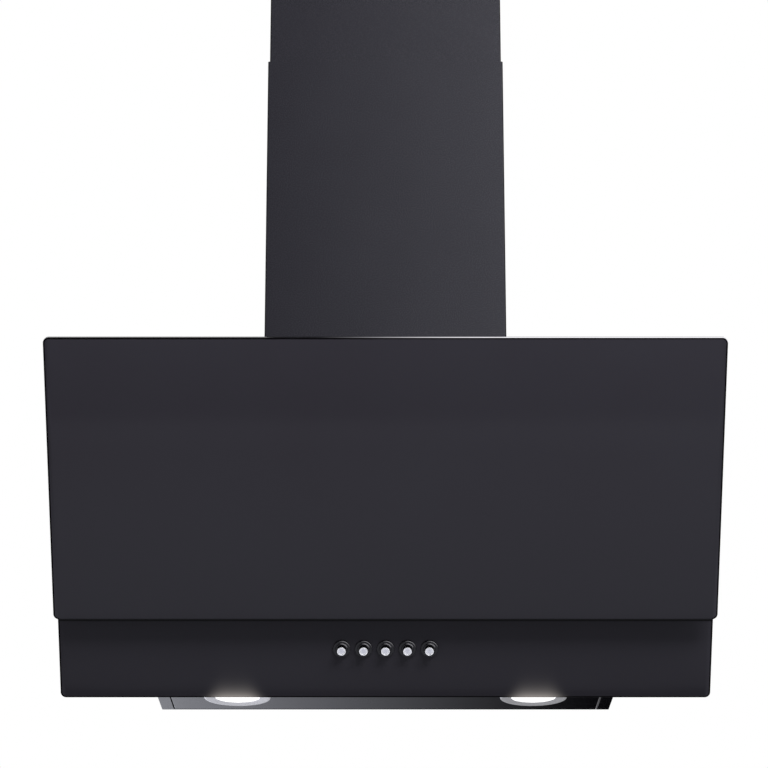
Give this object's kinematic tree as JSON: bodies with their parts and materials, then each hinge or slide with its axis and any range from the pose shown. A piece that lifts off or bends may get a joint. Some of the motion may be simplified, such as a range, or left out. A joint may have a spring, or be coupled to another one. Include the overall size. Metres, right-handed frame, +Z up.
{
  "type": "chimney range hood",
  "caption": "Wall-hung angled cooker hood: hinged black glass front, push-button strip, lamp plate, grease filter, fan and a telescopic chimney.",
  "frame": {"origin": "on the wall face of the back panel, in the middle of the four wall screw holes", "axes": "+Y into the wall, -Y to the cook, +Z up, +X to the right of someone facing the hood"},
  "size_m": [0.598, 0.2833, 0.6995],
  "materials": {
    "black_steel": "satin black powder coat on folded steel",
    "black_gloss_steel": "gloss black enamel on steel",
    "galvanised": "galvanised steel sheet",
    "black_glass": "back-painted black toughened glass",
    "dark_steel": "thin dark paint on steel",
    "black_plastic": "moulded black plastic",
    "grey_plastic": "moulded grey plastic",
    "white_plastic": "moulded white plastic",
    "wheel_plastic": "moulded dark grey plastic",
    "satin_metal": "satin chromed rim",
    "lamp_lens": "frosted lens",
    "cast_aluminium": "die cast",
    "spring_steel": "plain drawn steel",
    "zinc_steel": "bright zinc plate",
    "rubber": "matt",
    "magnet": "nickel plated",
    "filter_aluminium": "bright expanded mesh and folded channel",
    "motor_paint": "baked motor lacquer",
    "button_metal": "satin chromed cap with a turned dish",
    "black_screw": "blackened screws"
  },
  "bodies": {
    "hood": {"housing_shell": "black_gloss_steel", "back_panel": "galvanised", "lamp_plate": "black_gloss_steel", "control_glass": "black_glass", "control_carrier": "dark_steel", "button_collars": "black_plastic", "switch_bank": "grey_plastic", "lamp_ring_left": "satin_metal", "lamp_ring_right": "satin_metal", "lamp_lens_left": "lamp_lens", "lamp_lens_right": "lamp_lens", "lamp_module_left": "cast_aluminium", "lamp_module_right": "cast_aluminium", "lamp_clips": "spring_steel", "hinge_bracket_left": "zinc_steel", "hinge_bracket_right": "zinc_steel", "hinge_pins": "spring_steel", "panel_bumpers": "rubber", "magnet_posts": "black_plastic", "panel_magnets": "magnet", "filter_rails": "galvanised", "filter_frame": "filter_aluminium", "filter_mesh_front": "filter_aluminium", "filter_mesh_rear": "filter_aluminium", "filter_core": "filter_aluminium", "latch_guide": "black_plastic", "latch_keeper": "zinc_steel", "scroll_housing": "galvanised", "scroll_cover": "galvanised", "inlet_rings": "black_plastic", "motor": "motor_paint", "motor_bracket": "zinc_steel", "outlet_collar": "black_plastic", "flap_pins": "spring_steel", "chimney_lower": "black_steel", "chimney_angles": "galvanised", "lamp_driver": "grey_plastic", "terminal_box": "grey_plastic", "box_lids": "grey_plastic", "capacitor": "white_plastic", "cable_gland": "grey_plastic", "hood_screws": "zinc_steel", "chimney_screws": "black_screw"},
    "front_panel": {"front_glass": "black_glass", "panel_tray": "dark_steel", "hinge_arm_left": "zinc_steel", "hinge_arm_right": "zinc_steel"},
    "chimney_slide_section": {"chimney_upper": "black_steel", "chimney_bracket": "galvanised", "bracket_screws": "black_screw"},
    "filter_latch": {"filter_latch": "grey_plastic"},
    "fan_wheel": {"impeller": "wheel_plastic", "motor_shaft": "spring_steel"},
    "flap_front": {"flap_front": "black_plastic"},
    "flap_rear": {"flap_rear": "black_plastic"},
    "button_1": {"button_1": "button_metal"},
    "button_2": {"button_2": "button_metal"},
    "button_3": {"button_3": "button_metal"},
    "button_4": {"button_4": "button_metal"},
    "button_5": {"button_5": "button_metal"}
  },
  "joints": [
    {"name": "panel_hinge", "type": "hinge", "parent": "hood", "child": "front_panel", "pos_m": [0, -0.2608, 0.12291], "axis": [-1, 0, 0], "range_deg": [0, 70]},
    {"name": "chimney_extension", "type": "slide", "parent": "hood", "child": "chimney_slide_section", "axis": [0, 0, 1], "range_m": [-0.085, 0.14]},
    {"name": "filter_latch_slide", "type": "slide", "parent": "hood", "child": "filter_latch", "axis": [0, -0.5147, 0.8573], "range_m": [0, 0.006], "stiffness_N_per_m": 500, "springref_m": -0.002},
    {"name": "fan_spin", "type": "hinge", "parent": "hood", "child": "fan_wheel", "pos_m": [0, -0.085, 0.022], "axis": [1, 0, 0], "continuous": true},
    {"name": "flap_front_hinge", "type": "hinge", "parent": "hood", "child": "flap_front", "pos_m": [0, -0.099, 0.171], "axis": [-1, 0, 0], "range_deg": [0, 80]},
    {"name": "flap_rear_hinge", "type": "hinge", "parent": "hood", "child": "flap_rear", "pos_m": [0, -0.091, 0.171], "axis": [1, 0, 0], "range_deg": [0, 80]},
    {"name": "button_1_press", "type": "slide", "parent": "hood", "child": "button_1", "axis": [0, 0.8573, 0.5147], "range_m": [0, 0.0035], "stiffness_N_per_m": 400, "springref_m": -0.002},
    {"name": "button_2_press", "type": "slide", "parent": "hood", "child": "button_2", "axis": [0, 0.8573, 0.5147], "range_m": [0, 0.0035], "stiffness_N_per_m": 400, "springref_m": -0.002},
    {"name": "button_3_press", "type": "slide", "parent": "hood", "child": "button_3", "axis": [0, 0.8573, 0.5147], "range_m": [0, 0.0035], "stiffness_N_per_m": 400, "springref_m": -0.002},
    {"name": "button_4_press", "type": "slide", "parent": "hood", "child": "button_4", "axis": [0, 0.8573, 0.5147], "range_m": [0, 0.0035], "stiffness_N_per_m": 400, "springref_m": -0.002},
    {"name": "button_5_press", "type": "slide", "parent": "hood", "child": "button_5", "axis": [0, 0.8573, 0.5147], "range_m": [0, 0.0035], "stiffness_N_per_m": 400, "springref_m": -0.002}
  ]
}
